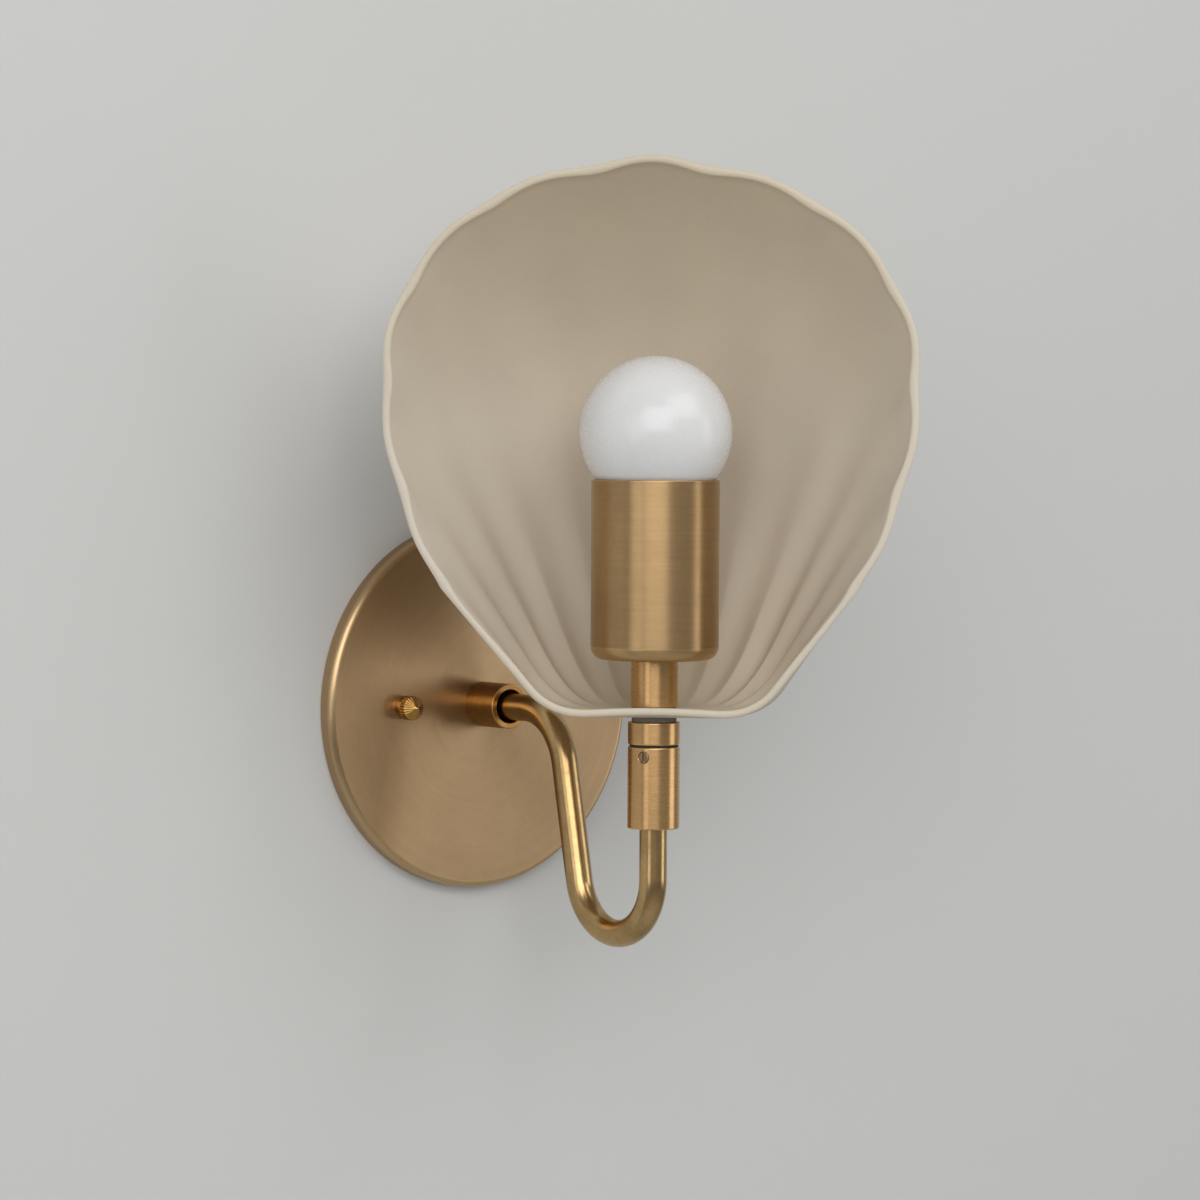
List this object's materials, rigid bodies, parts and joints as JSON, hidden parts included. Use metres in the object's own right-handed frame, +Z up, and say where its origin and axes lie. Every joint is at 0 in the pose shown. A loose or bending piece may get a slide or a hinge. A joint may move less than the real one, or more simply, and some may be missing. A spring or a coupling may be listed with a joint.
{
  "type": "wall sconce",
  "caption": "Wall sconce with a round canopy, a bent tube arm and a rotary swivel that carries a socket cup and globe bulb in an open scallop-shell shade.",
  "frame": {"origin": "centre of the crossbar's two slots, in the wall plane", "axes": "+Y into the wall, so the sconce stands out along -Y; +Z up; +X to the right of someone who faces the wall"},
  "size_m": [0.1486, 0.1748, 0.2724],
  "materials": {
    "spun_brass": "satin, spun in circles",
    "aged_brass": "satin, darker",
    "satin_brass": "satin, fine lines round each piece",
    "polished_brass": "polished",
    "zinc_steel": "zinc plated",
    "green_screw": "green dye over plating",
    "dark_fibre": "matt fibre",
    "grey_rubber": "matt",
    "frosted_glass": "sand-blasted, greige",
    "porcelain": "glazed",
    "thread_brass": "plain",
    "opal_glass": "glossy opal white",
    "nickel": "nickel plated",
    "black_glass": "glossy black",
    "solder": "dull",
    "clear_glass": "clear",
    "filament_yellow": "matt"
  },
  "bodies": {
    "wall_side": {"canopy": "spun_brass", "crossbar": "zinc_steel", "stud_left": "zinc_steel", "stud_right": "zinc_steel", "stud_nut_left": "zinc_steel", "stud_nut_right": "zinc_steel", "ground_screw": "green_screw", "arm_collar": "spun_brass", "arm_lock_washer": "zinc_steel", "arm_lock_nut": "zinc_steel", "arm_tube": "aged_brass", "swivel_body": "satin_brass", "set_screw": "polished_brass", "swivel_washer": "dark_fibre"},
    "shade_side": {"swivel_ring": "satin_brass", "threaded_nipple": "zinc_steel", "lower_shade_washer": "grey_rubber", "upper_shade_washer": "grey_rubber", "shell_shade": "frosted_glass", "stem": "satin_brass", "cup_nut": "zinc_steel", "socket_cup": "satin_brass", "socket_bracket": "zinc_steel", "socket_body": "porcelain", "socket_screw_shell": "thread_brass", "socket_contact": "thread_brass", "terminal_screw_left": "thread_brass", "terminal_screw_right": "thread_brass"},
    "bulb": {"bulb_globe": "opal_glass", "bulb_base": "nickel", "bulb_insulator": "black_glass", "bulb_tip": "solder", "bulb_inner_stem": "clear_glass", "bulb_filament": "filament_yellow"},
    "nut_left": {"knurled_nut_left": "polished_brass"},
    "nut_right": {"knurled_nut_right": "polished_brass"}
  },
  "joints": [
    {"name": "shade_swivel", "type": "hinge", "parent": "wall_side", "child": "shade_side", "pos_m": [0, -0.105, 0], "axis": [0, 0, 1], "range_deg": [-109, 191]},
    {"name": "bulb_lift", "type": "slide", "parent": "shade_side", "child": "bulb", "axis": [0, 0, 1], "range_m": [0, 0.022]},
    {"name": "nut_left_turn", "type": "hinge", "parent": "wall_side", "child": "nut_left", "pos_m": [-0.03492, -0.0065, 0], "axis": [0, -1, 0], "continuous": true},
    {"name": "nut_right_turn", "type": "hinge", "parent": "wall_side", "child": "nut_right", "pos_m": [0.03492, -0.0065, 0], "axis": [0, -1, 0], "continuous": true}
  ]
}
